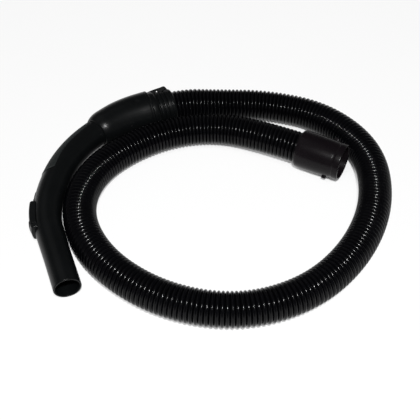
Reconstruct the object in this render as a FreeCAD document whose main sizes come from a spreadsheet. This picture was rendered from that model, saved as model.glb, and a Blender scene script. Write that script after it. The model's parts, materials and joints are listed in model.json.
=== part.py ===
"""Ribbed suction hose with a swivelling bent handle at one end and a swivelling cuff at the other.

The hose lies on the floor, z = 0, in one round loop. Units are millimetres and +Z is up.
Handle pieces are drawn in the handle frame: its origin is the centre of the swivel, X runs along
the collar towards the hose, Y points to the outside of the bend. Cuff pieces are drawn in the cuff
frame: its origin is the centre of the end the hose goes in, X runs towards the mouth.
"""
import FreeCAD, Part
import os
from math import acos, cos, pi, radians, sin, tan

import Sketcher
from FreeCAD import Placement, Rotation, Vector

doc = FreeCAD.newDocument("suction_hose")

# Driving sizes: alias, value in millimetres or degrees
SIZES = [
    ("hose_crest_radius", 20.0), ("hose_root_radius", 17.3), ("hose_bore_radius", 15.0),
    ("hose_rib_count", 32),
    ("swivel_centre_x", -60.8), ("swivel_centre_y", 130.1), ("swivel_centre_z", 26.0),
    ("handle_yaw", 22.5), ("handle_roll", 2.44),
    ("bend_radius", 163.0), ("bend_start", 12.0), ("bend_angle", 87.0),
    ("wand_length", 83.0), ("wand_radius", 15.9), ("wand_plain_length", 45.0),
    ("wand_root_radius", 16.6), ("grip_radius", 17.4), ("taper_start", 60.0), ("station_step", 6.0),
    ("tube_wall", 2.1), ("tube_rear_angle", 3.0),
    ("inlay_depth", 1.2),
    ("housing_lip_angle", 23.3), ("housing_lip_radius", 19.0), ("housing_front_radius", 23.6),
    ("housing_rear_radius", 26.0), ("housing_cavity_radius", 19.4), ("housing_bore_radius", 21.88),
    ("screw_radius", 1.5), ("screw_head_radius", 2.9), ("screw_offset", 21.4),
    ("collar_length", 32.0), ("collar_crest_radius", 22.5), ("collar_groove_radius", 21.4),
    ("collar_rim_radius", 25.0), ("collar_bore_radius", 20.05),
    ("spigot_radius", 21.8), ("spigot_length", 12.0), ("flange_radius", 23.2),
    ("fin_thickness", 3.0), ("fin_angle", 45.0), ("fin_hole_radius", 1.5),
    ("slide_half_width", 9.8), ("slide_top", 24.1), ("slide_bottom", 18.9),
    ("slide_start", 68.8), ("slide_span", 13.0), ("guide_top", 18.6), ("guide_half_width", 11.6),
    ("guide_start", 64.2), ("guide_span", 22.7),
    ("cuff_x", 133.7), ("cuff_y", 59.8), ("cuff_z", 24.6), ("cuff_yaw", -27.9),
    ("cuff_length", 59.3), ("cuff_shoulder_radius", 24.6), ("cuff_mouth_radius", 23.3),
    ("cuff_bore_radius", 20.5), ("cuff_bore_length", 30.0),
    ("bush_radius", 21.62), ("bush_flange_radius", 22.4), ("bush_length", 22.0),
]

# Route of the hose's centre line, chosen by hand from the photograph, from the swivel to the cuff
ROUTE = [
    (-71.9, 125.5, 26.0),
    (-0.9, 154.9, 26.0),
    (90.7, 152.6, 20.0),
    (173.2, 125.1, 20.0),
    (223.7, 57.6, 20.0),
    (222.7, -30.4, 20.0),
    (188.7, -107.9, 20.0),
    (129.2, -168.4, 20.0),
    (48.7, -194.9, 20.0),
    (-35.3, -175.4, 20.0),
    (-103.8, -121.0, 20.0),
    (-137.8, -45.4, 20.0),
    (-120.3, 30.6, 20.0),
    (-51.8, 89.1, 20.0),
    (28.2, 108.1, 20.0),
    (92.0, 81.9, 24.6),
    (153.1, 49.5, 24.6),
]
ARC_SHARE = 0.45  # share of the shorter run that an arc may use

sheet = doc.addObject("Spreadsheet::Sheet", "sizes")
for row, (alias, value) in enumerate(SIZES, start=1):
    sheet.set("A%d" % row, alias)
    sheet.set("B%d" % row, str(value))
    sheet.setAlias("B%d" % row, alias)
doc.recompute()


def size(alias):
    """Value of a cell of the sheet."""
    return float(getattr(sheet, alias))


def cell(alias, offset=0.0):
    """A length with the expression that ties it to the sheet."""
    return size(alias) + offset, "sizes.%s + (%s)" % (alias, offset)


def new_body(label):
    body = doc.addObject("PartDesign::Body", label)
    body.Label = label
    return body


def origin_plane(body, role):
    return next(plane for plane in body.Origin.OriginFeatures if plane.Role == role)


def sketch_on(body, name, place=None):
    """Empty sketch on the body's XY plane, moved by place."""
    sketch = body.newObject("Sketcher::SketchObject", name)
    sketch.AttachmentSupport = [(origin_plane(body, "XY_Plane"), "")]
    sketch.MapMode = "FlatFace"
    if place is not None:
        sketch.AttachmentOffset = place
    return sketch


def bind_point(sketch, line, axis, coordinate):
    """Fix one coordinate of a line's first point, tied to the sheet where it has an expression."""
    value, expression = coordinate if isinstance(coordinate, tuple) else (coordinate, None)
    if abs(value) < 1e-9:
        other = "PointOnObject"
        index = sketch.addConstraint(Sketcher.Constraint(other, line, 1, -2 if axis == "X" else -1))
        return index
    index = sketch.addConstraint(Sketcher.Constraint("Distance" + axis, line, 1, value))
    if expression:
        sketch.setExpression("Constraints[%d]" % index, expression)
    return index


def outline(sketch, points):
    """Closed outline of straight lines through points whose coordinates are numbers or cells."""
    plain = [tuple(c[0] if isinstance(c, tuple) else c for c in point) for point in points]
    corners = [Vector(x, y, 0) for x, y in plain]
    count = len(corners)
    lines = [Part.LineSegment(corners[i], corners[(i + 1) % count]) for i in range(count)]
    sketch.addGeometry(lines, False)
    for i in range(count):
        sketch.addConstraint(Sketcher.Constraint("Coincident", i, 2, (i + 1) % count, 1))
    for i, (x, y) in enumerate(points):
        bind_point(sketch, i, "X", x)
        bind_point(sketch, i, "Y", y)


def ring(sketch, radius):
    """Circle about the sketch's origin, its radius a number or a cell."""
    value, expression = radius if isinstance(radius, tuple) else (radius, None)
    circle = sketch.addGeometry(Part.Circle(Vector(0, 0, 0), Vector(0, 0, 1), value), False)
    sketch.addConstraint(Sketcher.Constraint("Coincident", circle, 3, -1, 1))
    index = sketch.addConstraint(Sketcher.Constraint("Radius", circle, value))
    if expression:
        sketch.setExpression("Constraints[%d]" % index, expression)


def turn(body, sketch, name, axis="H_Axis", angle=360.0, cut=False):
    """Revolve a sketch about one of its own axes, as material or as a groove."""
    feature = body.newObject("PartDesign::Groove" if cut else "PartDesign::Revolution", name)
    feature.Profile = sketch
    feature.ReferenceAxis = (sketch, [axis])
    feature.Angle = angle
    return feature


def turned_body(label, points, place):
    """Body of revolution about X from an outline of (x, radius)."""
    body = new_body(label)
    sketch = sketch_on(body, label + "_profile")
    outline(sketch, points)
    turn(body, sketch, label + "_turned")
    body.Placement = place
    return body


def pad(body, sketch, name, length, cut=False, both=True):
    """Straight pad or pocket of a sketch, half to each side of it."""
    feature = body.newObject("PartDesign::Pocket" if cut else "PartDesign::Pad", name)
    feature.Profile = sketch
    value, expression = length if isinstance(length, tuple) else (length, None)
    feature.Length = value
    if expression:
        feature.setExpression("Length", expression)
    feature.Midplane = both
    return feature


def frame_from(position, x_axis, z_axis):
    """Placement whose X and Z axes point along the two given directions."""
    y_axis = z_axis.cross(x_axis)
    return Placement(position, Rotation(x_axis, y_axis, z_axis, "XYZ"))


HANDLE = Placement(
    Vector(size("swivel_centre_x"), size("swivel_centre_y"), size("swivel_centre_z")),
    Rotation(Vector(0, 0, 1), size("handle_yaw")).multiply(
        Rotation(Vector(1, 0, 0), size("handle_roll"))))
CUFF = Placement(
    Vector(size("cuff_x"), size("cuff_y"), size("cuff_z")),
    Rotation(Vector(0, 0, 1), size("cuff_yaw")))
BEND_CENTRE = Vector(-size("bend_start"), -size("bend_radius"), 0)


def bend_radial(angle):
    """Direction from the centre of the bend to its axis, at an angle from the swivel's end."""
    return Vector(-sin(radians(angle)), cos(radians(angle)), 0)


def bend_tangent(angle):
    """Direction along the bend, away from the swivel."""
    return Vector(-cos(radians(angle)), -sin(radians(angle)), 0)


def bend_station(angle):
    """Placement on the tube's axis, Z along the tube and X towards the outside of the bend."""
    position = BEND_CENTRE + bend_radial(angle) * size("bend_radius")
    return frame_from(position, bend_radial(angle), bend_tangent(angle))


def bend_section(angle):
    """Plane through the bend's centre: X away from the centre, Y up along the handle's Z."""
    x_axis = bend_radial(angle)
    return Placement(BEND_CENTRE, Rotation(x_axis, Vector(0, 0, 1), x_axis.cross(Vector(0, 0, 1)), "XYZ"))


def bend_loft(body, name, stations, cut=False, ruled=False):
    """Loft through circles along the bend, given as (angle, radius)."""
    sketches = []
    for number, (angle, radius) in enumerate(stations):
        sketch = sketch_on(body, "%s_ring_%d" % (name, number), bend_station(angle))
        ring(sketch, radius)
        sketches.append(sketch)
    kind = "PartDesign::SubtractiveLoft" if cut else "PartDesign::AdditiveLoft"
    loft = body.newObject(kind, name)
    loft.Profile = sketches[0]
    loft.Sections = sketches[1:]
    loft.Ruled = ruled
    return loft


def even_angles(first, last):
    """Angles along the bend at the spacing that all pieces share, so that their faces match."""
    step = size("station_step")
    count = int(round((last - first) / step))
    return [first + step * number for number in range(count + 1)]


def tube_skin(body, name, first, last, grow=0.0, cut=False):
    """The handle tube's outside along the bend: an even grip, then a slow taper to the wand."""
    taper = size("taper_start")
    shrink = (size("grip_radius") - size("wand_root_radius")) / (size("bend_angle") - taper)
    stations = []
    for angle in even_angles(first, last):
        stations.append((angle, cell("grip_radius", grow - shrink * max(0.0, angle - taper))))
    bend_loft(body, name, stations, cut, ruled=True)


def grip_insert():
    """Softer inlay on the outside of the grip: a crescent cut from the tube's own skin."""
    body = new_body("grip_insert")
    first = size("tube_rear_angle") + 3 * size("station_step")
    tube_skin(body, "insert_skin", first, first + 42.0)
    tube_skin(body, "insert_inside", first, first + 42.0, -size("inlay_depth"), cut=True)
    # The keeping prism: everything on the inner side of a flat arc is cut away, seen from above
    sketch = sketch_on(body, "insert_cut")
    tip_rear = BEND_CENTRE + bend_radial(25.0) * (size("bend_radius") + size("grip_radius"))
    tip_front = BEND_CENTRE + bend_radial(61.0) * (size("bend_radius") + size("grip_radius"))
    middle = BEND_CENTRE + bend_radial(43.0) * (size("bend_radius") + 4.5)
    arc = Part.Arc(tip_rear, middle, tip_front)
    sketch.addGeometry([
        arc,
        Part.LineSegment(tip_front, BEND_CENTRE + bend_radial(61.0) * 250.0),
        Part.LineSegment(BEND_CENTRE + bend_radial(61.0) * 250.0, Vector(-400, -400, 0)),
        Part.LineSegment(Vector(-400, -400, 0), Vector(200, -400, 0)),
        Part.LineSegment(Vector(200, -400, 0), Vector(200, 100, 0)),
        Part.LineSegment(Vector(200, 100, 0), BEND_CENTRE + bend_radial(25.0) * 250.0),
        Part.LineSegment(BEND_CENTRE + bend_radial(25.0) * 250.0, tip_rear),
    ], False)
    pad(body, sketch, "insert_trim", 80.0, cut=True)
    body.Placement = HANDLE
    return body


def handle_tube(insert):
    """Bent tube from the swivel to the wand end, with a seat for the inlay and the regulator."""
    blank = new_body("handle_tube_blank")
    tube_skin(blank, "tube_skin", size("tube_rear_angle"), size("bend_angle"))
    wand = sketch_on(blank, "wand_profile", wand_frame())
    length = size("wand_length")
    wall = size("tube_wall")
    outline(wand, [
        (cell("wand_length"), cell("wand_root_radius")),
        (cell("wand_plain_length"), cell("wand_radius")),
        (0.9, cell("wand_radius")),
        (0.25, cell("wand_radius", -0.3)),
        (0.0, cell("wand_radius", -0.9)),
        (0.0, cell("wand_radius", -wall + 0.3)),
        (0.6, cell("wand_radius", -wall)),
        (cell("wand_length"), cell("wand_root_radius", -wall)),
    ])
    turn(blank, wand, "wand_turned")
    bore = [(angle, cell("wand_root_radius", -wall))
            for angle in even_angles(size("tube_rear_angle") - size("station_step"), size("bend_angle"))]
    bend_loft(blank, "tube_bore", bore, cut=True, ruled=True)
    port = sketch_on(blank, "port_profile", bend_section(76.5))
    rise = size("bend_radius")
    outline(port, [(rise + 5.0, -4.0), (rise + 30.0, -4.0), (rise + 30.0, 4.0), (rise + 5.0, 4.0)])
    turn(blank, port, "port", axis="V_Axis", angle=4.0, cut=True)
    blank.Placement = HANDLE
    tube = doc.addObject("Part::Cut", "handle_tube")
    tube.Label = "handle_tube"
    tube.Base = blank
    tube.Tool = insert
    return tube


def wand_frame():
    """Frame of the straight end: origin at the mouth, X back along the tube towards the bend."""
    angle = size("bend_angle")
    mouth = bend_station(angle).Base + bend_tangent(angle) * size("wand_length")
    return frame_from(mouth, bend_tangent(angle) * -1, Vector(0, 0, 1))


def regulator_frame():
    """Fixed guide of the suction regulator: saddle, two rails and the ramp at the wand end."""
    body = new_body("regulator_frame")
    rise = size("bend_radius")
    top = size("guide_top")
    half = size("guide_half_width")
    start = size("guide_start")
    base = sketch_on(body, "guide_profile", bend_section(start))
    outline(base, [
        (rise + 9.0, -half), (rise + top + 0.9, -half), (rise + top + 1.6, -half + 0.6),
        (rise + top + 1.6, -half + 1.3), (rise + top, -half + 1.3),
        (rise + top, -7.0), (rise + top - 0.9, -7.0), (rise + top - 0.9, 7.0), (rise + top, 7.0),
        (rise + top, half - 1.3), (rise + top + 1.6, half - 1.3),
        (rise + top + 1.6, half - 0.6), (rise + top + 0.9, half), (rise + 9.0, half),
    ])
    turn(body, base, "guide_turned", axis="V_Axis", angle=size("guide_span"))
    ramp_start = size("slide_start") + size("slide_span") + 0.5
    ends = []
    for name, angle, height, width in (("ramp_high", ramp_start, size("slide_top") - 0.2, 9.6),
                                       ("ramp_low", start + size("guide_span"), top + 0.3, 8.6)):
        sketch = sketch_on(body, name, bend_section(angle))
        outline(sketch, [(rise + 12.0, -width), (rise + height - 1.2, -width),
                         (rise + height, -width + 2.6), (rise + height, width - 2.6),
                         (rise + height - 1.2, width), (rise + 12.0, width)])
        ends.append(sketch)
    ramp = body.newObject("PartDesign::AdditiveLoft", "ramp")
    ramp.Profile = ends[0]
    ramp.Sections = ends[1:]
    ramp.Ruled = True
    tube_skin(body, "guide_underside", size("bend_angle") - 4 * size("station_step"), size("bend_angle"), cut=True)
    port = sketch_on(body, "guide_port_profile", bend_section(76.5))
    outline(port, [(rise + 5.0, -4.0), (rise + 22.0, -4.0), (rise + 22.0, 4.0), (rise + 5.0, 4.0)])
    turn(body, port, "guide_port", axis="V_Axis", angle=4.0, cut=True)
    body.Placement = HANDLE
    return body


def regulator_slide():
    """Slide of the regulator, with a gently crowned top and a raised nub at the wand end."""
    body = new_body("regulator_slide")
    rise = size("bend_radius")
    half = size("slide_half_width")
    top = size("slide_top")
    low = size("slide_bottom")
    sketch = sketch_on(body, "slide_profile", bend_section(size("slide_start")))
    outline(sketch, [
        (rise + low, -half), (rise + top - 2.4, -half), (rise + top - 1.2, -half + 0.8),
        (rise + top - 0.5, -half + 2.6), (rise + top, -2.0), (rise + top, 2.0),
        (rise + top - 0.5, half - 2.6), (rise + top - 1.2, half - 0.8),
        (rise + top - 2.4, half), (rise + low, half),
    ])
    turn(body, sketch, "slide_turned", axis="V_Axis", angle=size("slide_span"))
    nub_start = size("slide_start") + size("slide_span") - 1.7
    nub = sketch_on(body, "nub_profile", bend_section(nub_start))
    outline(nub, [(rise + top - 2.0, -8.0), (rise + top + 0.4, -7.2), (rise + top + 1.1, -5.0),
                  (rise + top + 1.1, 5.0), (rise + top + 0.4, 7.2), (rise + top - 2.0, 8.0)])
    turn(body, nub, "nub", axis="V_Axis", angle=1.3)
    body.Placement = HANDLE
    return body


def regulator_seal():
    """Soft pad under the slide that closes the port."""
    body = new_body("regulator_seal")
    rise = size("bend_radius")
    sketch = sketch_on(body, "seal_profile", bend_section(70.4))
    outline(sketch, [(rise + 17.9, -6.2), (rise + size("slide_bottom"), -6.2),
                     (rise + size("slide_bottom"), 6.2), (rise + 17.9, 6.2)])
    turn(body, sketch, "seal_turned", axis="V_Axis", angle=10.8)
    body.Placement = HANDLE
    return body


def housing_half(label, upper):
    """One half shell of the swivel housing, split in the plane of the bend."""
    body = new_body(label)
    lip = size("housing_lip_angle")
    front = size("housing_front_radius")
    end = size("housing_rear_radius")
    bend_loft(body, "shoulder", [
        (lip, cell("housing_lip_radius")), (lip - 0.8, cell("housing_lip_radius", 1.6)),
        (lip - 2.1, cell("housing_front_radius", -1.7)),
        (lip - 3.5, cell("housing_front_radius", -0.5)), (lip - 5.0, cell("housing_front_radius")),
    ], ruled=True)
    bend_loft(body, "barrel", [
        (lip - 5.0, cell("housing_front_radius")), (12.0, front + (end - front) * 0.33),
        (6.0, front + (end - front) * 0.62), (0.0, front + (end - front) * 0.87),
    ], ruled=True)
    tail = sketch_on(body, "tail_profile")
    shoulder_radius = front + (end - front) * 0.87
    outline(tail, [(-12.0, 0.0), (-12.0, shoulder_radius), (-1.0, end), (0.0, end - 0.9), (0.0, 0.0)])
    turn(body, tail, "tail")
    rear = size("tube_rear_angle")
    tube_skin(body, "tube_seat", rear, rear + 4 * size("station_step"), cut=True)
    cavity = [(angle, cell("housing_cavity_radius")) for angle in (6.5, 11.5, 16.5)]
    bend_loft(body, "cavity", cavity, cut=True, ruled=True)
    inside = sketch_on(body, "swivel_profile")
    bore = size("housing_bore_radius")
    outline(inside, [
        (-20.5, 0.0), (-20.5, cell("grip_radius")), (-17.0, 20.0), (-12.4, 20.0),
        (-12.4, 23.6), (-8.0, 23.6), (-8.0, cell("housing_bore_radius")),
        (-6.6, cell("housing_bore_radius")), (-6.6, 23.0), (-2.6, 23.0),
        (-2.6, cell("housing_bore_radius")), (2.0, bore), (2.0, 0.0),
    ])
    turn(body, inside, "swivel_room", cut=True)
    for number, side in enumerate((1, -1)):
        shank = sketch_on(body, "screw_hole_%d" % number, screw_frame(side))
        ring(shank, cell("screw_radius"))
        pad(body, shank, "screw_hole_cut_%d" % number, 40.0, cut=True)
        head = sketch_on(body, "screw_recess_%d" % number,
                         screw_frame(side).multiply(Placement(Vector(0, 0, 26.0), Rotation())))
        ring(head, cell("screw_head_radius", 0.3))
        pad(body, head, "screw_recess_cut_%d" % number, 40.0, cut=True)
    keep = sketch_on(body, "split")
    outline(keep, [(-400.0, -400.0), (200.0, -400.0), (200.0, 200.0), (-400.0, 200.0)])
    trim = body.newObject("PartDesign::Pocket", "split_cut")
    trim.Profile = keep
    trim.Length = 60.0
    trim.Reversed = not upper
    body.Placement = HANDLE
    return body


def screw_frame(side):
    """Frame of a housing screw: on the plane of the bend, Z up, outside or inside the tube."""
    station = bend_station(9.0)
    position = station.Base + bend_radial(9.0) * side * size("screw_offset")
    return Placement(position, Rotation())


def housing_screws():
    """Two pan-head screws that draw the half shells together."""
    body = new_body("housing_screws")
    for number, side in enumerate((1, -1)):
        shank = sketch_on(body, "shank_%d" % number,
                          screw_frame(side).multiply(Placement(Vector(0, 0, -1.5), Rotation())))
        ring(shank, cell("screw_radius"))
        pad(body, shank, "shank_pad_%d" % number, 15.0)
        head = sketch_on(body, "head_%d" % number,
                         screw_frame(side).multiply(Placement(Vector(0, 0, 7.0), Rotation())))
        ring(head, cell("screw_head_radius"))
        pad(body, head, "head_pad_%d" % number, 2.0)
    body.Placement = HANDLE
    return body


def hose_collar():
    """Grooved collar on the hose, with the spigot that turns in the housing and a holed fin."""
    body = new_body("hose_collar")
    sketch = sketch_on(body, "collar_profile")
    crest = size("collar_crest_radius")
    groove = size("collar_groove_radius")
    points = [
        (-size("spigot_length"), cell("collar_bore_radius")), (-size("spigot_length"), cell("spigot_radius")),
        (-11.6, cell("flange_radius")), (-8.6, cell("flange_radius")), (-8.3, cell("spigot_radius")),
        (0.4, cell("spigot_radius")), (0.4, cell("collar_rim_radius", -0.5)),
        (0.9, cell("collar_rim_radius")), (2.4, cell("collar_rim_radius")), (2.8, 23.4), (4.4, 23.4),
        (4.8, 24.6), (6.8, 24.4), (8.8, 22.3), (9.6, groove),
    ]
    for ridge in (11.5, 16.0, 20.5, 25.0):
        points += [(ridge - 1.5, cell("collar_groove_radius")), (ridge, cell("collar_crest_radius")),
                   (ridge + 1.5, cell("collar_groove_radius"))]
    points += [(27.6, crest), (30.6, crest), (cell("collar_length"), crest - 1.2),
               (cell("collar_length"), cell("collar_bore_radius", 0.5)), (31.5, cell("collar_bore_radius"))]
    outline(sketch, points)
    turn(body, sketch, "collar_turned")
    lean = Rotation(Vector(1, 0, 0), size("fin_angle"))
    fin = sketch_on(body, "fin_profile", Placement(Vector(0, 0, 0), lean))
    outline(fin, [(1.4, 21.0), (1.4, 25.0), (2.6, 25.9), (13.0, 25.2), (22.0, 25.6), (26.0, 27.0),
                  (28.4, 26.2), (31.6, 22.6), (31.6, 21.0)])
    pad(body, fin, "fin", cell("fin_thickness"))
    hole = sketch_on(body, "fin_hole", Placement(lean.multVec(Vector(15.3, 23.7, 0)), lean))
    ring(hole, cell("fin_hole_radius", -0.4))
    pad(body, hole, "fin_hole_cut", 8.0, cut=True)
    body.Placement = HANDLE
    return body


def small_rings():
    """Rings and sleeves that are plain turned pieces."""
    bore = size("housing_bore_radius")
    sleeve = turned_body("hose_inner_sleeve", [
        (-11.8, 13.6), (18.0, 13.6), (18.0, cell("hose_bore_radius", -0.6)),
        (17.0, cell("hose_bore_radius", -0.1)), (-11.8, cell("hose_bore_radius", -0.1))], HANDLE)
    swivel = turned_body("swivel_ring", [
        (-6.5, bore), (-2.7, bore), (-2.7, 22.6), (-3.1, 22.95), (-6.1, 22.95), (-6.5, 22.6)], HANDLE)
    seal = turned_body("swivel_seal", [
        (-16.3, 17.4), (-12.3, 16.2), (-12.3, 19.6), (-16.3, 19.6)], HANDLE)
    return [sleeve, swivel, seal]


def machine_cuff():
    """Cuff that plugs onto the machine: rounded shoulder, tapered barrel, groove near the mouth."""
    body = new_body("machine_cuff")
    sketch = sketch_on(body, "cuff_profile")
    end = size("cuff_length")
    shoulder = size("cuff_shoulder_radius")
    mouth = size("cuff_mouth_radius")
    bore_start = end - size("cuff_bore_length")
    points = [(0.0, 20.9), (0.0, shoulder - 3.2)]
    for step in range(1, 6):
        angle = radians(18.0 * step)
        points.append((4.0 - 4.0 * cos(angle), shoulder - 3.2 + 3.2 * sin(angle)))
    points += [
        (end - 11.0, mouth + 0.35), (end - 10.2, mouth - 0.35), (end - 8.6, mouth - 0.35),
        (end - 7.8, mouth + 0.2), (end - 1.2, cell("cuff_mouth_radius")),
        (cell("cuff_length"), cell("cuff_mouth_radius", -1.0)),
        (cell("cuff_length"), cell("cuff_bore_radius", 0.8)), (end - 0.8, cell("cuff_bore_radius")),
        (bore_start, cell("cuff_bore_radius")), (bore_start, 17.6), (24.6, 17.6),
        (24.6, 22.8), (18.0, 22.8), (18.0, cell("bush_radius", 0.08)),
        (2.4, cell("bush_radius", 0.08)), (2.4, 20.9),
    ]
    outline(sketch, points)
    turn(body, sketch, "cuff_turned")
    for number, side in enumerate((1, -1)):
        lug = sketch_on(body, "lug_%d" % number,
                        Placement(Vector(38.0, 0, 0), Rotation()))
        outline(lug, [(-2.8, side * 22.0), (2.8, side * 22.0), (2.2, side * (mouth + 1.7)),
                      (-2.2, side * (mouth + 1.7))])
        pad(body, lug, "lug_pad_%d" % number, 6.0)
    body.Placement = CUFF
    return body


def cuff_rings():
    """Bush on the hose's end, the ring that holds it in the cuff, and the seal at the socket."""
    bush = turned_body("machine_end_bush", [
        (2.6, cell("collar_bore_radius")), (cell("bush_length"), cell("collar_bore_radius")),
        (cell("bush_length"), cell("bush_flange_radius")), (18.4, cell("bush_flange_radius")),
        (18.4, cell("bush_radius")), (3.2, cell("bush_radius")), (2.6, 21.2)], CUFF)
    retainer = turned_body("cuff_retaining_ring", [
        (22.3, 16.4), (24.6, 16.4), (24.6, 22.8), (22.3, 22.8)], CUFF)
    start = size("cuff_length") - size("cuff_bore_length")
    seal = turned_body("cuff_seal", [
        (start - 4.7, 16.6), (start - 0.4, 16.6), (start - 0.4, 17.6), (start - 4.7, 17.6)], CUFF)
    return [bush, retainer, seal]


def route_path():
    """Straight runs and tangent arcs of the hose's centre line, as (kind, data) with lengths."""
    points = [Vector(*point) for point in ROUTE]
    runs = [points[i + 1] - points[i] for i in range(len(points) - 1)]
    spans = []
    radii = []
    here = points[0]
    for i in range(1, len(points) - 1):
        before = Vector(runs[i - 1]).normalize()
        after = Vector(runs[i]).normalize()
        half = acos(max(-1.0, min(1.0, before.dot(after)))) / 2.0
        reach = ARC_SHARE * min(runs[i - 1].Length, runs[i].Length)
        radius = reach / tan(half)
        radii.append(radius)
        first = points[i] - before * reach
        last = points[i] + after * reach
        inward = (after - before).normalize()
        centre = points[i] + inward * (radius / cos(half))
        spans.append(("run", here, first, before))
        spans.append(("arc", first, last, before, centre, radius, 2.0 * half))
        here = last
    spans.append(("run", here, points[-1], Vector(runs[-1]).normalize()))
    return spans, radii


def span_length(span):
    if span[0] == "run":
        return (span[2] - span[1]).Length
    return span[5] * span[6]


def point_along(spans, distance):
    """Point and direction at a distance along the centre line."""
    for span in spans:
        length = span_length(span)
        if distance <= length or span is spans[-1]:
            break
        distance -= length
    if span[0] == "run":
        return span[1] + span[3] * distance, span[3]
    centre = span[4]
    radius = span[5]
    outward = (span[1] - centre) * (1.0 / radius)
    angle = distance / radius
    point = centre + outward * (radius * cos(angle)) + span[3] * (radius * sin(angle))
    return point, span[3] * cos(angle) - outward * sin(angle)


def route_ring(spans, distance, radius):
    """Circle across the hose with its seam upwards all the way, so that the rings don't twist."""
    point, along = point_along(spans, distance)
    up = (Vector(0, 0, 1) - along * along.z).normalize()
    circle = Part.makeCircle(radius)
    circle.Placement = frame_from(point, up, along)
    return Part.Wire([circle])


def hose():
    """The ribbed hose: one ruled skin of ribs over a plain bore."""
    spans, radii = route_path()
    total = sum(span_length(span) for span in spans)
    crest = size("hose_crest_radius")
    root = size("hose_root_radius")
    bore = size("hose_bore_radius")
    count = int(size("hose_rib_count"))
    pitch = total / count
    rings = []
    for rib in range(count):
        for share, radius in ((0.0 if rib == 0 else 0.1, root), (0.34, crest), (0.66, crest),
                              (1.0 if rib == count - 1 else 0.9, root)):
            rings.append(route_ring(spans, (rib + share) * pitch, radius))
    skin = Part.makeLoft(rings, True, True)
    steps = 30
    hollow_rings = [route_ring(spans, total * step / steps, bore) for step in range(steps + 1)]
    hollow = Part.makeLoft(hollow_rings, True, True)
    solid = skin.cut(hollow)
    feature = doc.addObject("Part::Feature", "hose")
    feature.Label = "hose"
    feature.Shape = solid
    feature.Placement = Placement()
    section = pi * ((root ** 2 * 0.2 + crest ** 2 * 0.32 + (root ** 2 + root * crest + crest ** 2) / 3 * 0.48)
                    - bore ** 2)
    print("hose length %.1f mm, arc radii %s" % (total, [round(radius) for radius in radii]))
    print("hose volume %.0f mm3, section times length %.0f mm3" % (feature.Shape.Volume, section * total))
    return feature


insert = grip_insert()
pieces = [hose(), hose_collar(), insert, handle_tube(insert), regulator_frame(), regulator_slide(),
          regulator_seal(), housing_half("housing_upper", True), housing_half("housing_lower", False),
          housing_screws(), machine_cuff()]
pieces += small_rings()
pieces += cuff_rings()
doc.recompute()

for item in doc.Objects:
    if "Invalid" in item.State or "Error" in item.State:
        raise SystemExit("failed object: %s %s" % (item.Label, item.State))
for piece in pieces:
    if piece.Shape.isNull() or not piece.Shape.isValid() or not piece.Shape.Solids:
        raise SystemExit("bad shape: " + piece.Label)

os.makedirs("parts", exist_ok=True)
for piece in pieces:
    box = piece.Shape.BoundBox
    print("%-20s solids %d volume %.0f box %.1f %.1f %.1f to %.1f %.1f %.1f" % (
        piece.Label, len(piece.Shape.Solids), piece.Shape.Volume,
        box.XMin, box.YMin, box.ZMin, box.XMax, box.YMax, box.ZMax))
    piece.Shape.exportStep("parts/%s.step" % piece.Label)
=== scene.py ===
"""Looks of the ribbed suction hose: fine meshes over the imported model, materials, floor, light and camera.

Lengths in the making of a piece are millimetres in the frame of the handle or of the cuff, and the
frames' matrices turn them into metres. The route of the hose is in metres in the row frame.
"""
import bpy
import json
from math import ceil, cos, pi, radians, sin, sqrt
from mathutils import Matrix, Vector


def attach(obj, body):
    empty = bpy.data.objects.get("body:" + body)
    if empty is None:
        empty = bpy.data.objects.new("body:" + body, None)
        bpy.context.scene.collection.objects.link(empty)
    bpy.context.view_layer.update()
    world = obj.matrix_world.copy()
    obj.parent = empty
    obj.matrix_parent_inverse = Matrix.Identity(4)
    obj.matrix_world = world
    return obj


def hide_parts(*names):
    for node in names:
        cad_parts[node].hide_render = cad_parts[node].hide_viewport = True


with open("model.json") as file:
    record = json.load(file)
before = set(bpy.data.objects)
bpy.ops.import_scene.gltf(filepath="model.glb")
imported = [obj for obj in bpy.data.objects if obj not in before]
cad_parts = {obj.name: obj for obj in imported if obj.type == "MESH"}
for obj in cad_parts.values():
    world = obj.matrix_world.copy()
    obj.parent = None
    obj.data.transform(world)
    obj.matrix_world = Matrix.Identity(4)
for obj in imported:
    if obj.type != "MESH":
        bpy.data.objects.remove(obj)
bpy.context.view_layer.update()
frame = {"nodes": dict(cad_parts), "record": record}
scene = bpy.context.scene
MM = 0.001

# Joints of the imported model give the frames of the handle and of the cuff
JOINTS = {joint["name"]: joint for joint in frame["record"]["behaviour"]["joints"]}
HANDLE_ROLL = radians(2.44)
BEND_RADIUS = 163.0
BEND_START = 12.0
BEND_ANGLE = radians(87.0)
WAND_LENGTH = 83.0
BEND_END = BEND_START + BEND_RADIUS * BEND_ANGLE
TUBE_END = BEND_END + WAND_LENGTH

# Route of the hose from the swivel to the cuff: the model's points, moved by up to 5 mm and with
# one more behind the collar, where the hose sags to the floor
ROUTE = [
    (-0.0719, 0.1255, 0.0260),
    (-0.0220, 0.1462, 0.0260),
    (0.0280, 0.1516, 0.0208),
    (0.0976, 0.1512, 0.0200),
    (0.1718, 0.1258, 0.0200),
    (0.2225, 0.0582, 0.0200),
    (0.2215, -0.0294, 0.0200),
    (0.1873, -0.1083, 0.0200),
    (0.1289, -0.1682, 0.0200),
    (0.0494, -0.1946, 0.0200),
    (-0.0357, -0.1769, 0.0200),
    (-0.1074, -0.1224, 0.0200),
    (-0.1426, -0.0455, 0.0200),
    (-0.1231, 0.0311, 0.0200),
    (-0.0518, 0.0896, 0.0200),
    (0.0248, 0.1058, 0.0200),
    (0.0920, 0.0813, 0.0246),
    (0.1531, 0.0495, 0.0246),
]
HOSE_CREST = 0.0200
HOSE_ROOT = 0.0173
HOSE_BORE = 0.0160
RIB_PITCH = 0.00515
RIB_FULLNESS = 0.62
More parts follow.
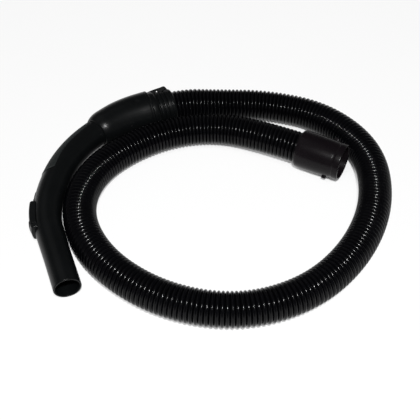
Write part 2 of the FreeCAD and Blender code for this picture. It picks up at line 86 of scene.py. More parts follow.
CUTS_PER_RIB = 10
HOSE_SIDES = 84


def joint_frame(name, roll=0.0):
    """Matrix of a swivel's frame: origin at its centre, X along its axis, lengths in millimetres."""
    joint = JOINTS[name]
    x_axis = Vector(joint["axis"]).normalized()
    y_axis = Vector((0, 0, 1)).cross(x_axis).normalized()
    z_axis = x_axis.cross(y_axis)
    turn = Matrix((x_axis, y_axis, z_axis)).transposed().to_4x4()
    place = Matrix.Translation(Vector(joint["pos_m"]))
    return place @ turn @ Matrix.Rotation(roll, 4, "X") @ Matrix.Scale(MM, 4)


HANDLE = joint_frame("handle_swivel", HANDLE_ROLL)
CUFF = joint_frame("cuff_swivel")


CAMERA_PLACE = Vector((0.0192, -0.6801, 0.7016))
CAMERA_TARGET = Vector((0.0192, -0.0259, 0.0))
LENS = 67.2
SENSOR_WIDTH = 36.0


def aim(item, target):
    """Turn a camera or a lamp towards a point."""
    item.rotation_euler = (target - item.location).to_track_quat("-Z", "Y").to_euler()


def camera():
    """The photograph's view: 47 degrees above the floor."""
    data = bpy.data.cameras.new("camera")
    data.lens = LENS
    data.sensor_width = SENSOR_WIDTH
    item = bpy.data.objects.new("camera", data)
    scene.collection.objects.link(item)
    item.location = CAMERA_PLACE
    aim(item, CAMERA_TARGET)
    scene.camera = item


def node(tree, kind, **inputs):
    """New shader node with its plain inputs set by name."""
    item = tree.nodes.new(kind)
    for key, value in inputs.items():
        item.inputs[key.replace("_", " ")].default_value = value
    return item


def two_tone_ramp(tree, first_place, first_colour, last_place, last_colour):
    """Colour ramp with one colour at each of two places."""
    ramp = tree.nodes.new("ShaderNodeValToRGB")
    ends = ((first_place, first_colour), (last_place, last_colour))
    for element, (place, colour) in zip(ramp.color_ramp.elements, ends):
        element.position = place
        element.color = colour
    return ramp


TONE_SCALE = 38.0
TONE_DARK_END = 0.3
TONE_LIGHT_START = 0.72
GLOSS_SCALE = 160.0
GRAIN_HEIGHT = 0.0004


def plastic(name, dark, light, roughness, spread, grain_scale, grain_depth, specular=0.5, streak=1.0):
    """Moulded plastic or rubber: two tones in a slow noise, uneven gloss and a fine grain."""
    material = bpy.data.materials.new(name)
    material.use_nodes = True
    tree = material.node_tree
    shader = tree.nodes["Principled BSDF"]
    shader.inputs["Specular IOR Level"].default_value = specular
    where = tree.nodes.new("ShaderNodeTexCoord")
    stretch = node(tree, "ShaderNodeMapping", Scale=(1.0, streak, 1.0))
    tree.links.new(where.outputs["Object"], stretch.inputs["Vector"])
    tone = node(tree, "ShaderNodeTexNoise", Scale=TONE_SCALE, Detail=5.0, Roughness=0.6)
    tree.links.new(stretch.outputs["Vector"], tone.inputs["Vector"])
    ramp = two_tone_ramp(tree, TONE_DARK_END, (*dark, 1), TONE_LIGHT_START, (*light, 1))
    tree.links.new(tone.outputs["Fac"], ramp.inputs["Fac"])
    tree.links.new(ramp.outputs["Color"], shader.inputs["Base Color"])
    gloss = node(tree, "ShaderNodeTexNoise", Scale=GLOSS_SCALE, Detail=4.0)
    tree.links.new(where.outputs["Object"], gloss.inputs["Vector"])
    span = node(tree, "ShaderNodeMapRange", To_Min=roughness - spread, To_Max=roughness + spread)
    tree.links.new(gloss.outputs["Fac"], span.inputs["Value"])
    tree.links.new(span.outputs["Result"], shader.inputs["Roughness"])
    grain = node(tree, "ShaderNodeTexNoise", Scale=grain_scale, Detail=3.0)
    tree.links.new(where.outputs["Object"], grain.inputs["Vector"])
    bump = node(tree, "ShaderNodeBump", Strength=grain_depth, Distance=GRAIN_HEIGHT)
    tree.links.new(grain.outputs["Fac"], bump.inputs["Height"])
    tree.links.new(bump.outputs["Normal"], shader.inputs["Normal"])
    return material


METAL_LIGHTER = 1.3


def metal(name, colour, roughness):
    """Turned metal in two close tones with a fine grain."""
    lighter = [channel * METAL_LIGHTER for channel in colour]
    material = plastic(name, colour, lighter, roughness, spread=0.08, grain_scale=900.0, grain_depth=0.15)
    material.node_tree.nodes["Principled BSDF"].inputs["Metallic"].default_value = 1.0
    return material


def add_mesh(name, points, faces, matrix, material, body, replaces=(), sharp=38.0):
    """Mesh object in the row frame, smooth but for its sharp edges, riding on a body."""
    mesh = bpy.data.meshes.new(name)
    mesh.from_pydata([matrix @ Vector(point) for point in points], [], faces)
    mesh.validate()
    mesh.shade_smooth()
    mesh.set_sharp_from_angle(angle=radians(sharp))
    mesh.materials.append(material)
    item = bpy.data.objects.new(name, mesh)
    scene.collection.objects.link(item)
    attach(item, body)
    if replaces:
        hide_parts(*replaces)
    return item


def skin(rings, closed=False):
    """Points and faces over rings of equal count. Closed joins the last ring to the first."""
    count = len(rings[0])
    points = [point for ring in rings for point in ring]
    faces = []
    last = len(rings) if closed else len(rings) - 1
    for i in range(last):
        a = i * count
        b = ((i + 1) % len(rings)) * count
        for j in range(count):
            k = (j + 1) % count
            faces.append((a + j, a + k, b + k, b + j))
    if not closed:
        faces.append(tuple(reversed(range(count))))
        faces.append(tuple(range(len(points) - count, len(points))))
    return points, faces


def rounded(corners, cuts=5):
    """Outline with rounded corners. A corner is (x, y) or (x, y, size of the rounding)."""
    points = []
    count = len(corners)
    for i, corner in enumerate(corners):
        here = Vector(corner[:2])
        size = corner[2] if len(corner) > 2 else 0.0
        if not size:
            points.append(here)
            continue
        before = Vector(corners[i - 1][:2]) - here
        after = Vector(corners[(i + 1) % count][:2]) - here
        first = here + before.normalized() * min(size, before.length * 0.48)
        last = here + after.normalized() * min(size, after.length * 0.48)
        for cut in range(cuts + 1):
            t = cut / cuts
            points.append(first * (1 - t) ** 2 + here * 2 * t * (1 - t) + last * t * t)
    return points


def lathe(name, corners, matrix, material, body, replaces=(), around=112):
    """Turned piece about X from a closed outline of (x, radius)."""
    outline = rounded(corners)
    rings = []
    for point in outline:
        rings.append([(point.x, point.y * cos(2 * pi * j / around), point.y * sin(2 * pi * j / around))
                      for j in range(around)])
    points, faces = skin(rings, closed=True)
    return add_mesh(name, points, faces, matrix, material, body, replaces)


LEAN_OUT = 3.0
LEAN_OUT_DEGREES = (54.0, 84.0)
LEAN_BACK = 2.2
LEAN_BACK_DEGREES = 80.0
LEAN_BACK_PAST_END = 30.0


def lean(s):
    """Small step outward of the tube's lower end from the even bend, most at the wand's root."""
    out = LEAN_OUT * between(s, *[at_bend(degrees) for degrees in LEAN_OUT_DEGREES])
    back = LEAN_BACK * between(s, at_bend(LEAN_BACK_DEGREES), TUBE_END + LEAN_BACK_PAST_END)
    return out - back


def axis_at(s):
    """Point, outward direction and direction along the handle's axis at a distance from the swivel."""
    if s <= BEND_START:
        return Vector((-s, 0, 0)), Vector((0, 1, 0)), Vector((-1, 0, 0))
    angle = min((s - BEND_START) / BEND_RADIUS, BEND_ANGLE)
    outward = Vector((-sin(angle), cos(angle), 0))
    along = Vector((-cos(angle), -sin(angle), 0))
    point = Vector((-BEND_START, -BEND_RADIUS, 0)) + outward * (BEND_RADIUS + lean(s))
    return point + along * max(0.0, s - BEND_END), outward, along


def at_bend(degrees):
    """Distance from the swivel of an angle along the bend."""
    return BEND_START + BEND_RADIUS * radians(degrees)


def handle_point(s, offset, angle):
    """Point beside the handle's axis: angle 0 is outward in the plane of the bend, 90 degrees up."""
    point, outward, _ = axis_at(s)
    return point + outward * (offset * cos(angle)) + Vector((0, 0, offset * sin(angle)))


def between(value, low, high):
    """Smooth step from 0 at low to 1 at high."""
    t = min(1.0, max(0.0, (value - low) / (high - low)))
    return t * t * (3 - 2 * t)


def along_profile(profile, at):
    """Smoothed value of a profile, pairs of (place, value) in rising order of place."""
    if at <= profile[0][0]:
        return profile[0][1]
    for i in range(len(profile) - 1):
        x0, y0 = profile[i]
        x1, y1 = profile[i + 1]
        if at <= x1:
            xa, ya = profile[max(i - 1, 0)]
            xb, yb = profile[min(i + 2, len(profile) - 1)]
            span = x1 - x0
            m0 = (y1 - ya) / (x1 - xa) * span
            m1 = (yb - y0) / (xb - x0) * span
            t = (at - x0) / span
            return ((2 * t ** 3 - 3 * t ** 2 + 1) * y0 + (t ** 3 - 2 * t ** 2 + t) * m0
                    + (3 * t ** 2 - 2 * t ** 3) * y1 + (t ** 3 - t ** 2) * m1)
    return profile[-1][1]


def steps(first, last, longest):
    """Even values from first to last, no further apart than longest."""
    count = max(1, ceil(abs(last - first) / longest))
    return [first + (last - first) * i / count for i in range(count + 1)]


GRIP_RADIUS = 17.4
WAND_ROOT_RADIUS = 16.6
WAND_RADIUS = 15.9
TUBE_WALL = 2.1
PLAIN_START = TUBE_END - 45.0
TAPER_START = at_bend(56.0)
TUBE_START = at_bend(3.0)
TUBE_STEP = 3.0
BORE_STEP = 6.0
RIM_LENGTH = 1.4
BORE_LIP = 2.0
# The rim of the wand's mouth: (distance back from the mouth, drop from the outside)
RIM = [(0.7, 0.08), (0.25, 0.3), (0.0, 0.75), (0.0, 1.4), (0.3, 1.8), (0.9, TUBE_WALL)]


def tube_radius(s):
    """Outside of the handle tube: even grip, slow taper to the bend's end, then to the plain wand end."""
    if s <= BEND_END:
        return GRIP_RADIUS - (GRIP_RADIUS - WAND_ROOT_RADIUS) * between(s, TAPER_START, BEND_END)
    share = min(1.0, (s - BEND_END) / (PLAIN_START - BEND_END))
    return WAND_ROOT_RADIUS - (WAND_ROOT_RADIUS - WAND_RADIUS) * share


def handle_tube(material):
    """The bent tube: its outside, the rounded rim at the wand's mouth, and the bore back to its start."""
    around = 96
    stations = [(s, tube_radius(s)) for s in steps(TUBE_START, TUBE_END - RIM_LENGTH, TUBE_STEP)]
    stations += [(TUBE_END - back, WAND_RADIUS - drop) for back, drop in RIM]
    bore = steps(TUBE_END - BORE_LIP, TUBE_START, BORE_STEP)
    stations += [(s, tube_radius(s) - TUBE_WALL) for s in bore]
    rings = [[handle_point(s, radius, 2 * pi * j / around) for j in range(around)] for s, radius in stations]
    points, faces = skin(rings, closed=True)
    add_mesh("handle_tube_shell", points, faces, HANDLE, material, "handle",
             ["handle_tube"])


INLAY_REAR = 23.6
INLAY_FRONT = 57.5
INLAY_WIDTHS = [(23.6, 56.0), (25.0, 62.0), (26.6, 67.0), (28.6, 72.0), (31.5, 75.5), (36.0, 76.0),
                (43.0, 75.0), (49.0, 79.0), (55.0, 84.0), (60.0, 84.0)]
INLAY_PROUD = 0.45
INLAY_SUNK = 0.4
INLAY_ROOT = 1.1
INLAY_SIDE_ROLL = 0.8
INLAY_FRONT_ROLL = 0.5
INLAY_RIDGE = 0.28
INLAY_RIDGE_PLACE = 1.1
INLAY_SLANT = 2.6
INLAY_BLUNT_HALF = 50.0
INLAY_SLANT_WIDTH = 34.0


def inlay_front(side):
    """Degrees along the bend of the inlay's blunt front end: it slants back towards its two edges."""
    return INLAY_FRONT - INLAY_SLANT * max(0.0, abs(side) - INLAY_BLUNT_HALF) / INLAY_SLANT_WIDTH


def inlay_height(to_side, to_front):
    """Distance of the inlay's face from the tube's axis, by the distances in from its edges."""
    edge = min(1.0, to_side / INLAY_SIDE_ROLL) * min(1.0, to_front / INLAY_FRONT_ROLL)
    raised = INLAY_RIDGE * max(0.0, 1 - abs(to_front - INLAY_RIDGE_PLACE)) ** 1.5
    return GRIP_RADIUS - INLAY_SUNK + (INLAY_SUNK + INLAY_PROUD) * sqrt(edge * (2 - edge)) + raised


def grip_inlay(material):
    """Soft saddle over the outside of the grip, a hair proud, with rolled edges and a raised front end."""
    across = 72
    count = 110
    rings = []
    for i in range(count + 1):
        t = sin(0.5 * pi * i / count)
        half = along_profile(INLAY_WIDTHS, INLAY_REAR + (INLAY_FRONT - INLAY_REAR) * t)
        outer = []
        inner = []
        for j in range(across + 1):
            side = sin(0.5 * pi * (-1 + 2 * j / across)) * half
            degrees = INLAY_REAR + (inlay_front(side) - INLAY_REAR) * t
            to_front = radians(inlay_front(side) - degrees) * (BEND_RADIUS + GRIP_RADIUS)
            to_side = radians(half - abs(side)) * GRIP_RADIUS
            outer.append(handle_point(at_bend(degrees), inlay_height(to_side, to_front), radians(side)))
            inner.append(handle_point(at_bend(degrees), GRIP_RADIUS - INLAY_ROOT, radians(side)))
        rings.append(outer + inner[::-1])
    points, faces = skin(rings)
    add_mesh("grip_inlay", points, faces, HANDLE, material, "handle", ["grip_insert"])


HOUSING_LIP = at_bend(24.0)
HOUSING_PROFILE = [(0.0, 25.98), (at_bend(0.0), 25.76), (at_bend(6.0), 25.33), (at_bend(12.0), 24.68),
                   (at_bend(17.0), 24.0), (at_bend(19.4), 23.55), (at_bend(21.0), 22.85),
                   (at_bend(22.2), 21.8), (at_bend(23.2), 20.5), (at_bend(23.75), 19.6),
                   (at_bend(24.0), 18.7)]
HOUSING_SWELL = [(0.0, 1.4), (at_bend(4.0), 1.1), (at_bend(12.0), 0.8), (at_bend(17.5), 0.1),
                 (at_bend(24.0), 0.0)]
SWELL_SIDE = radians(45.0)
RING_CUT_PLACE = 3.6
RING_CUT_DEPTH = 0.55
REAR_ROLL = 0.9
ROOM_END = 21.0
ROOM_RADIUS = 22.0
SEAT_RADIUS = 17.46
THINNEST_WALL = 0.6
SPLIT_GAP = 0.12
SPLIT_DEPTH = 0.3
DIMPLE_PLACE = 20.3
DIMPLE_TURN = radians(95.4)
DIMPLE_RADIUS = 25.5
DIMPLE_LENGTH = 4.8
DIMPLE_WIDTH = 3.1
DIMPLE_DEPTH = 0.95


def dimple(s, angle):
    """Depth of the shallow oval hollow on top of the housing."""
    along = (s - DIMPLE_PLACE) / DIMPLE_LENGTH
    side = (angle - DIMPLE_TURN) * DIMPLE_RADIUS / DIMPLE_WIDTH
    return DIMPLE_DEPTH * (1 - between(sqrt(along * along + side * side), 0.5, 1.0))


def housing_skin(s, angle):
    """Outside of the housing, fuller on its outer and upper side, with a fine ring cut near the swivel."""
    radius = along_profile(HOUSING_PROFILE, s)
    radius += along_profile(HOUSING_SWELL, s) * max(0.0, cos(angle - SWELL_SIDE))
    radius -= RING_CUT_DEPTH * (1 - between(abs(s - RING_CUT_PLACE), 0.1, 0.55))
    if s < 1.0:
        radius -= REAR_ROLL * (1 - s) ** 2
    return radius - dimple(s, angle)


def housing_half(name, node_name, low, material):
    """Half shell from one split line to the other, with a fine groove left between the halves."""
    around = 84
    rings = []
    stations = steps(0.0, 1.0, 0.2) + steps(1.0, 5.0, 0.25)[1:] + steps(5.0, 60.0, 1.0)[1:]
    stations += steps(60.0, HOUSING_LIP, 0.5)[1:]
    for s in stations:
        radius = along_profile(HOUSING_PROFILE, s)
        inner = min(SEAT_RADIUS if s > ROOM_END else ROOM_RADIUS, radius - THINNEST_WALL)
        gap = SPLIT_GAP / radius
        angles = [low + gap + (pi - 2 * gap) * j / around for j in range(around + 1)]
        ring = []
        for angle in angles:
            distance = min(angle - low, low + pi - angle) * radius
            groove = SPLIT_DEPTH * (1 - between(distance, 0.1, 0.7))
            ring.append(handle_point(s, housing_skin(s, angle) - groove, angle))
        ring += [handle_point(s, inner, angle) for angle in reversed(angles)]
        rings.append(ring)
    points, faces = skin(rings)
    add_mesh(name, points, faces, HANDLE, material, "handle", [node_name])


def bend_block(name, spans, material, body, replaces=()):
    """Block that follows the bend: spans are (degrees, outline of (offset from the axis, height))."""
    rings = []
    for degrees, outline in spans:
        point, outward, _ = axis_at(at_bend(degrees))
        rings.append([point + outward * x + Vector((0, 0, z)) for x, z in outline])
    points, faces = skin(rings)
    add_mesh(name, points, faces, HANDLE, material, body, replaces)


def crowned(top, half, corner, crown, under, channel=0.0, channel_top=0.0):
    """Cross-section of a block over the tube: rounded upper corners, a gently crowned top and a saddle under.

    Under is the saddle's radius; a channel is a square way cut in the saddle's middle.
    """
    cuts = 6
    width = half - corner
    shoulder = top - crown - corner
    turns = [pi / 2 * i / cuts for i in range(cuts + 1)]
    outline = [(shoulder + corner * sin(turn), -width - corner * cos(turn)) for turn in turns]
    for i in range(1, 2 * cuts):
        z = -width + width * i / cuts
        outline.append((top - crown * (z / width) ** 2, z))
    outline += [(shoulder + corner * sin(turn), width + corner * cos(turn)) for turn in reversed(turns)]
    saddle = [half + (channel - half) * i / cuts for i in range(cuts + 1)]
    outline += [(sqrt(under * under - z * z), z) for z in saddle]
    if channel:
        outline += [(channel_top, channel), (channel_top, -channel)]
    outline += [(sqrt(under * under - z * z), -z) for z in reversed(saddle)]
    return outline


def round_off(into, size):
    """Drop of a quarter-round edge of a size, at a distance in from the edge."""
    t = min(1.0, max(0.0, into / size))
    return size * (1 - sqrt(t * (2 - t)))


# The regulator's pieces along the bend, in degrees
RAIL_START = 66.2
SLIDE_START = 72.5
SLIDE_END = 83.3
SLIDE_MIDDLE = 0.5 * (SLIDE_START + SLIDE_END)
NUB_START = SLIDE_END - 1.9
NUB_END = SLIDE_END - 0.12
BLOCK_START = 83.6
BLOCK_END = 85.4
DEGREE_LENGTH = radians(1.0) * (BEND_RADIUS + 22.0)
# Its sizes across the bend
SADDLE_RADIUS = 17.45
SUNK_RADIUS = 16.2
SLIDE_TOP = 20.9
SLIDE_SWELL = 0.35
SLIDE_HALF = 11.8
SLIDE_CORNER = 2.8
SLIDE_CROWN = 0.9
CHANNEL_HALF = 4.9
CHANNEL_TOP = 18.8
NUB_BASE = 20.5
NUB_HEIGHT = 1.5
NUB_HALF = 10.0
NUB_CORNER = 1.6
NUB_CROWN = 0.7
NUB_UNDER = 19.2
NUB_FULLNESS = 0.55
RAIL_TOP = 17.4
RAIL_HALF = 4.6
RAIL_CORNER = 0.3
RAIL_CROWN = 0.05
BLOCK_TOP = 20.9
BLOCK_HALF = 12.0
BLOCK_CORNER = 3.0
BLOCK_CROWN = 0.9
BLOCK_TILT = 0.5
BLOCK_REAR_ROLL = 0.6
BLOCK_FRONT_ROLL = 1.4


def slide_cover(material):
    """The slide, its top slightly swelled along the bend, over the channel that the rail runs in."""
    spans = []
    for degrees in steps(SLIDE_START, SLIDE_END, 0.125):
        into_rear = (degrees - SLIDE_START) * DEGREE_LENGTH
        into_front = (SLIDE_END - degrees) * DEGREE_LENGTH
        drop = round_off(into_rear, 2.0) + round_off(into_front, 0.5)
        narrow = round_off(into_rear, 1.6) + round_off(into_front, 0.4)
        away = (degrees - SLIDE_MIDDLE) / (SLIDE_END - SLIDE_MIDDLE)
        top = SLIDE_TOP + SLIDE_SWELL * (1 - away * away) - drop
        spans.append((degrees, crowned(top, SLIDE_HALF - narrow, SLIDE_CORNER, SLIDE_CROWN, SADDLE_RADIUS,
                                       CHANNEL_HALF, CHANNEL_TOP)))
    bend_block("regulator_slide_cover", spans, material, "regulator", ["regulator_slide"])


def nub(material):
    """The thumb nub across the slide's front end."""
    spans = []
    for degrees in steps(NUB_START, NUB_END, 0.09):
        t = min(1.0, max(0.0, (degrees - NUB_START) / (NUB_END - NUB_START)))
        height = NUB_HEIGHT * sin(pi * t) ** NUB_FULLNESS
        spans.append((degrees, crowned(NUB_BASE + height, NUB_HALF, NUB_CORNER, NUB_CROWN, NUB_UNDER)))
    bend_block("regulator_nub", spans, material, "regulator")


def guide_body(material):
    """The fixed rail under the slide and the block at its front end."""
    spans = []
    for degrees in steps(RAIL_START, BLOCK_START - 0.02, 0.5):
        top = RAIL_TOP - round_off((degrees - RAIL_START) * DEGREE_LENGTH, 0.4)
        spans.append((degrees, crowned(top, RAIL_HALF, RAIL_CORNER, RAIL_CROWN, SUNK_RADIUS)))
    for degrees in steps(BLOCK_START, BLOCK_END, 0.1):
        into_rear = (degrees - BLOCK_START) * DEGREE_LENGTH
        into_front = (BLOCK_END - degrees) * DEGREE_LENGTH
        drop = round_off(into_rear, BLOCK_REAR_ROLL) + round_off(into_front, BLOCK_FRONT_ROLL)
        narrow = round_off(into_rear, 0.5) + round_off(into_front, BLOCK_FRONT_ROLL)
        tilt = BLOCK_TILT * (degrees - BLOCK_START) / (BLOCK_END - BLOCK_START)
        spans.append((degrees, crowned(BLOCK_TOP - tilt - drop, BLOCK_HALF - tilt - narrow, BLOCK_CORNER,
                                       BLOCK_CROWN, SUNK_RADIUS)))
    bend_block("regulator_guide_body", spans, material, "handle", ["regulator_frame"])


FIN_TURN = radians(45.0)
FIN_HALF_THICKNESS = 1.0
FIN_EDGE_ROLL = 0.5
FIN_HOLE_PLACE = (15.6, 22.9)
FIN_HOLE_RADIUS = 1.5


def collar_rings(material):
    """Collar on the hose: a front band, grooves between soft ridges, and an end ring."""
    corners = [
        (-12.0, 20.1), (-12.0, 21.8), (-11.6, 21.8), (-11.6, 23.2), (-8.6, 23.2), (-8.3, 21.8), (0.3, 21.8),
        (0.3, 24.7, 0.5), (3.0, 24.8, 1.0), (6.3, 24.6, 1.0), (8.0, 22.9, 0.8), (8.5, 21.1, 0.3),
        (10.0, 21.0, 0.3), (10.7, 22.8, 0.7), (14.4, 22.9, 0.7), (15.0, 21.0, 0.3), (15.9, 21.0, 0.3),
        (16.4, 22.8, 0.7), (20.2, 22.9, 0.7), (20.8, 21.0, 0.3), (21.7, 21.0, 0.3), (22.2, 22.8, 0.6),
        (26.3, 23.0, 0.5), (26.7, 22.3, 0.2), (27.2, 22.3, 0.2), (27.6, 22.9, 0.5), (30.4, 22.9, 1.2),
        (32.0, 21.4, 0.8), (32.0, 20.4, 0.4), (31.0, 20.1),
    ]
    lathe("collar_rings", corners, HANDLE, material, "hose_body", ["hose_collar"],
          around=144)


def collar_fin(material):
    """Flat fin along the collar, pierced by a round hole, on the outer and upper side."""
    curve = bpy.data.curves.new("fin_outline", "CURVE")
    curve.dimensions = "2D"
    curve.fill_mode = "BOTH"
    curve.extrude = FIN_HALF_THICKNESS
    curve.bevel_depth = FIN_EDGE_ROLL
    curve.bevel_resolution = 3
    edge = rounded([(1.4, 20.8), (1.4, 24.4, 0.9), (7.0, 25.4, 1.5), (15.0, 26.3, 2.5), (21.5, 26.6, 1.8),
                    (25.0, 27.2, 1.0), (27.4, 26.9, 1.2), (29.3, 23.4, 1.4), (30.8, 20.8)])
    turns = [2 * pi * i / 24 for i in range(24)]
    middle = Vector(FIN_HOLE_PLACE)
    hole = [middle + FIN_HOLE_RADIUS * Vector((cos(turn), -sin(turn))) for turn in turns]
    for outline in (edge, hole):
        spline = curve.splines.new("POLY")
        spline.points.add(len(outline) - 1)
        for point, place in zip(spline.points, outline):
            point.co = (place.x, place.y, 0, 1)
        spline.use_cyclic_u = True
    holder = bpy.data.objects.new("fin_outline", curve)
    mesh = bpy.data.meshes.new_from_object(holder)
    raise_fin = Matrix.Rotation(FIN_TURN, 4, "X")
    points = [raise_fin @ vertex.co for vertex in mesh.vertices]
    faces = [tuple(face.vertices) for face in mesh.polygons]
    bpy.data.objects.remove(holder)
    add_mesh("collar_fin", points, faces, HANDLE, material, "hose_body", sharp=50.0)


LUG_PLACE = 42.0
LUG_TURNS = (45.0, 225.0)
LUG_HALF_LENGTH = 2.8
LUG_HALF_WIDTH = 3.0
LUG_CORNER = 1.2
# Heights of a lug's rings above the cuff's axis, each with the ring's share of the full outline
LUG_RINGS = [(22.0, 1.0), (25.6, 1.0), (26.3, 0.93), (26.7, 0.8), (26.8, 0.55)]


def cuff_barrel(material):
    """Machine cuff: rounded shoulder, gently crowned barrel, and groove and rim at the open mouth."""
    corners = [
        (0.0, 20.9, 0.3), (0.0, 21.9, 0.4), (0.4, 23.1, 1.0), (3.0, 24.4, 2.4), (14.0, 24.6), (30.0, 24.3),
        (47.9, 23.4, 0.4), (48.6, 23.0, 0.3), (51.0, 23.0, 0.3), (51.7, 23.5, 0.5), (59.3, 23.2, 1.4),
        (59.3, 21.2, 0.6), (58.3, 20.5, 0.3), (29.3, 20.5, 0.3), (29.3, 17.6), (24.6, 17.6), (24.6, 22.8),
        (18.0, 22.8), (18.0, 21.7), (2.4, 21.7), (2.4, 20.9),
    ]
    lathe("cuff_barrel", corners, CUFF, material, "cuff", ["machine_cuff"])


def cuff_lugs(material):
    """Two small rounded lugs on opposite sides of the cuff, near its mouth."""
    signs = ((-1, -1), (1, -1), (1, 1), (-1, 1))
    for number, turn in enumerate(LUG_TURNS):
        rings = []
        for height, size in LUG_RINGS:
            corners = [(LUG_HALF_LENGTH * size * x, LUG_HALF_WIDTH * size * y, LUG_CORNER * size)
                       for x, y in signs]
            rings.append([(LUG_PLACE + point.x, height, point.y) for point in rounded(corners)])
        points, faces = skin(rings)
        place = CUFF @ Matrix.Rotation(radians(turn), 4, "X")
        add_mesh("cuff_lug_%d" % number, points, faces, place, material, "cuff")


def hose_line():
    """Points of the route's own smooth spline."""
    curve = bpy.data.curves.new("hose_route", "CURVE")
    curve.dimensions = "3D"
    curve.resolution_u = 24
    spline = curve.splines.new("NURBS")
    spline.points.add(len(ROUTE) - 1)
    for point, place in zip(spline.points, ROUTE):
        point.co = (*place, 1)
    spline.order_u = 3
    spline.use_endpoint_u = True
    holder = bpy.data.objects.new("hose_route", curve)
    line = [vertex.co.copy() for vertex in bpy.data.meshes.new_from_object(holder).vertices]
    bpy.data.objects.remove(holder)
    return line


def hose_centres(line, total, count):
    """Even stations along the smooth line: the centre and the direction at each."""
    travelled = [0.0]
    for first, last in zip(line, line[1:]):
        travelled.append(travelled[-1] + (last - first).length)
    stations = []
    segment = 0
    for i in range(count + 1):
        distance = total * i / count
        while segment < len(line) - 2 and travelled[segment + 1] < distance:
            segment += 1
        share = (distance - travelled[segment]) / (travelled[segment + 1] - travelled[segment])
        before = (line[segment] - line[max(segment - 1, 0)]).normalized()
        here = (line[segment + 1] - line[segment]).normalized()
        after = (line[min(segment + 2, len(line) - 1)] - line[segment + 1]).normalized()
        along = (before * (1 - share) + here + after * share).normalized()
        stations.append((line[segment].lerp(line[segment + 1], share), along))
    return stations


def hose(material):
    """The ribbed hose, one mesh tube with a rounded rib at each pitch, along the route."""
    line = hose_line()
    total = sum((last - first).length for first, last in zip(line, line[1:]))
    count = round(total / RIB_PITCH) * CUTS_PER_RIB
    turns = [2 * pi * j / HOSE_SIDES for j in range(HOSE_SIDES)]
    stations = hose_centres(line, total, count)
    rings = []
    for i, (centre, along) in enumerate(stations):
        wave = sin(pi * (i % CUTS_PER_RIB) / CUTS_PER_RIB) ** RIB_FULLNESS
        radius = HOSE_ROOT + (HOSE_CREST - HOSE_ROOT) * wave
        up = (Vector((0, 0, 1)) - along * along.z).normalized()
        side = along.cross(up)
        rings.append([centre + up * (radius * cos(turn)) + side * (radius * sin(turn)) for turn in turns])
    bore = []
    for i in range(count, -1, -CUTS_PER_RIB // 2):
        centre = stations[i][0]
        bore.append([centre + (point - centre).normalized() * HOSE_BORE for point in rings[i]])
    points, faces = skin(rings + bore, closed=True)
    piece = add_mesh("ribbed_hose", points, faces, Matrix.Identity(4), material, "hose_body",
                     ["hose"], sharp=75.0)


FLOOR_REACH = 6.0
FLOOR_DROP = 0.0004
FLOOR_GLOW = 0.86
# Painted shade on the floor: its white glow is dimmed in the gaps under and between the pieces, by ambient
# occlusion within this reach
PAINTED_SHADE_REACH = 0.05
PAINTED_SHADE_FULL_AO = 0.08
PAINTED_SHADE_NONE_AO = 0.42
HORIZON_LEVEL = 0.32
ZENITH_LEVEL = 0.05
ZENITH_START = 0.45
WHITE = (1, 1, 1, 1)
LAMP_TARGET = Vector((0.02, -0.02, 0.0))
LAMPS = [
    ("key", (0.08, -0.775, 1.16), 0.12, 22.0),
    ("fill", (-1.6, 1.2, 3.2), 3.0, 6.0),
]


def math_node(tree, operation, first, second):
    """Math node of two values, each a socket or a number."""
    item = tree.nodes.new("ShaderNodeMath")
    item.operation = operation
    for socket, value in zip(item.inputs, (first, second)):
        if isinstance(value, float):
            socket.default_value = value
        else:
            tree.links.new(value, socket)
    return item.outputs[0]


def floor_material():
    """Pale matt floor that the eye and the glossy pieces see as white, its glow dimmed as painted shade in
    the gaps under the part.
    """
    material = bpy.data.materials.new("floor")
    material.use_nodes = True
    tree = material.node_tree
    shader = tree.nodes["Principled BSDF"]
    shader.inputs["Base Color"].default_value = (0.95, 0.95, 0.95, 1)
    shader.inputs["Roughness"].default_value = 0.9
    shader.inputs["Specular IOR Level"].default_value = 0.1
    rays = tree.nodes.new("ShaderNodeLightPath")
    seen = math_node(tree, "MAXIMUM", rays.outputs["Is Camera Ray"], rays.outputs["Is Glossy Ray"])
    seen = math_node(tree, "MAXIMUM", seen, rays.outputs["Is Transmission Ray"])
    # Painted shade: the glow's share falls to nothing where ambient occlusion is low, in the gaps under the
    # part
    gap = node(tree, "ShaderNodeAmbientOcclusion", Distance=PAINTED_SHADE_REACH)
    unshaded_glow_share = node(tree, "ShaderNodeMapRange", From_Min=PAINTED_SHADE_FULL_AO, From_Max=PAINTED_SHADE_NONE_AO)
    unshaded_glow_share.interpolation_type = "SMOOTHSTEP"
    tree.links.new(gap.outputs["AO"], unshaded_glow_share.inputs["Value"])
    share = math_node(tree, "MULTIPLY", seen, unshaded_glow_share.outputs["Result"])
    share = math_node(tree, "MULTIPLY", share, FLOOR_GLOW)
    glow = tree.nodes.new("ShaderNodeEmission")
    blend = tree.nodes.new("ShaderNodeMixShader")
    tree.links.new(share, blend.inputs[0])
    tree.links.new(shader.outputs[0], blend.inputs[1])
    tree.links.new(glow.outputs[0], blend.inputs[2])
    tree.links.new(blend.outputs[0], tree.nodes["Material Output"].inputs["Surface"])
    return material


def floor():
    """One square of floor, a hair under the part."""
    reach = FLOOR_REACH
    mesh = bpy.data.meshes.new("floor")
    mesh.from_pydata([(-reach, -reach, 0), (reach, -reach, 0), (reach, reach, 0), (-reach, reach, 0)], [],
                     [(0, 1, 2, 3)])
    mesh.materials.append(floor_material())
    item = bpy.data.objects.new("floor", mesh)
    item.location.z = -FLOOR_DROP
    scene.collection.objects.link(item)


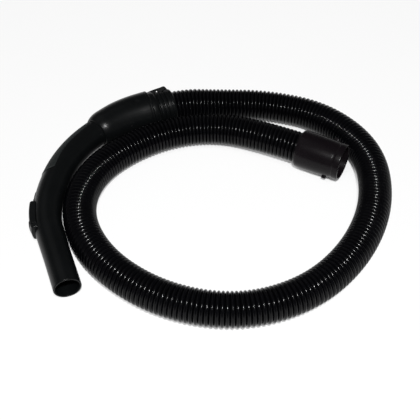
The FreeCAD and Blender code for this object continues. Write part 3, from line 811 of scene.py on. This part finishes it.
def surround():
    """World that is white to the eye and lights the part dimly, paler at its horizon."""
    world = bpy.data.worlds.new("surround")
    world.use_nodes = True
    scene.world = world
    tree = world.node_tree
    back = tree.nodes["Background"]
    where = tree.nodes.new("ShaderNodeTexCoord")
    parts = tree.nodes.new("ShaderNodeSeparateXYZ")
    tree.links.new(where.outputs["Generated"], parts.inputs[0])
    ramp = two_tone_ramp(tree, 0.0, (*[HORIZON_LEVEL] * 3, 1), ZENITH_START, (*[ZENITH_LEVEL] * 3, 1))
    tree.links.new(parts.outputs["Z"], ramp.inputs["Fac"])
    eye = tree.nodes.new("ShaderNodeLightPath")
    shown = node(tree, "ShaderNodeMixRGB", Color2=WHITE)
    tree.links.new(eye.outputs["Is Camera Ray"], shown.inputs["Fac"])
    tree.links.new(ramp.outputs["Color"], shown.inputs["Color1"])
    tree.links.new(shown.outputs["Color"], back.inputs["Color"])
    back.inputs["Strength"].default_value = 1.0


def lamps():
    """A small key lamp, which makes the row of dots on the ribs, and a large weak fill."""
    for name, place, size, power in LAMPS:
        lamp = bpy.data.lights.new(name, "AREA")
        lamp.shape = "DISK"
        lamp.size = size
        lamp.energy = power
        item = bpy.data.objects.new(name, lamp)
        scene.collection.objects.link(item)
        item.location = place
        aim(item, LAMP_TARGET)


def materials():
    """The part's materials by name."""
    return {
        "hose_black": plastic(
            "hose_black", dark=(0.0008, 0.0008, 0.0012), light=(0.0016, 0.0016, 0.0022), roughness=0.185,
            spread=0.02, grain_scale=700.0, grain_depth=0.015, specular=0.15),
        "satin_black": plastic(
            "satin_black", dark=(0.0024, 0.0028, 0.0030), light=(0.0036, 0.0041, 0.0044), roughness=0.31,
            spread=0.03, grain_scale=1400.0, grain_depth=0.06, specular=0.15),
        "soft_grey": plastic(
            "soft_grey", dark=(0.0105, 0.0130, 0.0130), light=(0.0140, 0.0170, 0.0170), roughness=0.62,
            spread=0.05, grain_scale=1900.0, grain_depth=0.3, specular=0.25),
        "brown_black": plastic(
            "brown_black", dark=(0.0034, 0.0024, 0.0032), light=(0.0052, 0.0038, 0.0048), roughness=0.27,
            spread=0.03, grain_scale=1200.0, grain_depth=0.05, specular=0.15, streak=0.3),
        "seal_black": plastic(
            "seal_black", dark=(0.005, 0.005, 0.005), light=(0.009, 0.009, 0.009), roughness=0.6,
            spread=0.05, grain_scale=900.0, grain_depth=0.3, specular=0.25),
        "bearing_white": plastic(
            "bearing_white", dark=(0.66, 0.66, 0.62), light=(0.74, 0.74, 0.70), roughness=0.4,
            spread=0.05, grain_scale=700.0, grain_depth=0.1),
        "screw_metal": metal("screw_metal", (0.22, 0.22, 0.23), 0.35),
    }


# Inner pieces keep the model's meshes and only get a material
INNER_FINISHES = {
    "hose_inner_sleeve": "bearing_white",
    "machine_end_bush": "brown_black",
    "housing_screws": "screw_metal",
    "swivel_ring": "bearing_white",
    "swivel_seal": "seal_black",
    "regulator_seal": "seal_black",
    "cuff_retaining_ring": "bearing_white",
    "cuff_seal": "seal_black",
}


def main():
    """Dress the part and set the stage."""
    scene.view_settings.view_transform = "Standard"
    camera()
    made = materials()
    satin_black = made["satin_black"]
    hose(made["hose_black"])
    handle_tube(satin_black)
    grip_inlay(made["soft_grey"])
    housing_half("housing_top_shell", "housing_upper", 0.0, satin_black)
    housing_half("housing_bottom_shell", "housing_lower", pi, satin_black)
    slide_cover(satin_black)
    nub(satin_black)
    guide_body(satin_black)
    collar_rings(satin_black)
    collar_fin(satin_black)
    cuff_barrel(made["brown_black"])
    cuff_lugs(made["brown_black"])
    for name, finish in INNER_FINISHES.items():
        for slot in frame["nodes"][name].material_slots:
            slot.material = made[finish]
    floor()
    surround()
    lamps()


main()
